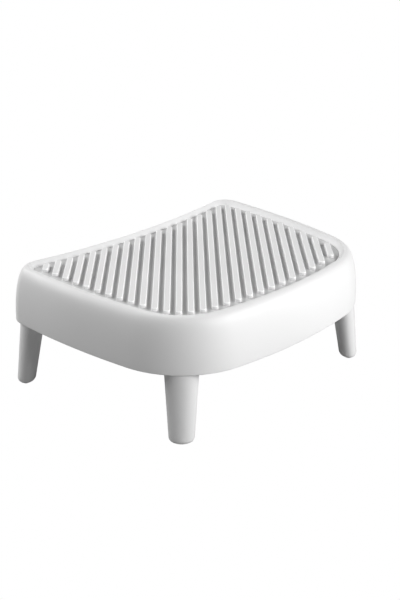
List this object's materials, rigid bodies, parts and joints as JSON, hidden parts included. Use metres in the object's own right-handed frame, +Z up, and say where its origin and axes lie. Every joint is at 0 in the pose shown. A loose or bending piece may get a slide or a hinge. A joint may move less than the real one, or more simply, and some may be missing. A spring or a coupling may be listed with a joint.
{
  "type": "step stool",
  "caption": "Low step stool with a curved-sided body, a lift-out diagonally ribbed tread, a hollow back edge and splayed oval legs.",
  "frame": {"origin": "on the floor under the middle of the stool's bounding box", "axes": "+X to the right along the width, -Y towards the bowed front, +Y towards the hollow back, +Z up"},
  "size_m": [0.4468, 0.3302, 0.169],
  "materials": {
    "body_white": "satin moulded",
    "tray_white": "satin moulded",
    "leg_white": "satin moulded",
    "cover_white": "fine texture",
    "frame_plastic": "as moulded",
    "soft_grey": "matte",
    "steel": "zinc plated",
    "brass": "machined"
  },
  "bodies": {
    "stool": {"body_shell": "body_white", "inner_frame": "frame_plastic", "tray_pads": "soft_grey", "bottom_cover": "cover_white", "cover_screws": "steel", "leg_front_left": "leg_white", "leg_front_right": "leg_white", "leg_back_left": "leg_white", "leg_back_right": "leg_white", "foot_pad_front_left": "soft_grey", "foot_pad_front_right": "soft_grey", "foot_pad_back_left": "soft_grey", "foot_pad_back_right": "soft_grey", "leg_screws": "steel", "leg_washers": "steel", "leg_inserts": "brass"},
    "tray": {"tread_tray": "tray_white"}
  },
  "joints": [
    {"name": "tray_lift", "type": "slide", "parent": "stool", "child": "tray", "axis": [0, 0, 1], "range_m": [0, 0.04]}
  ]
}
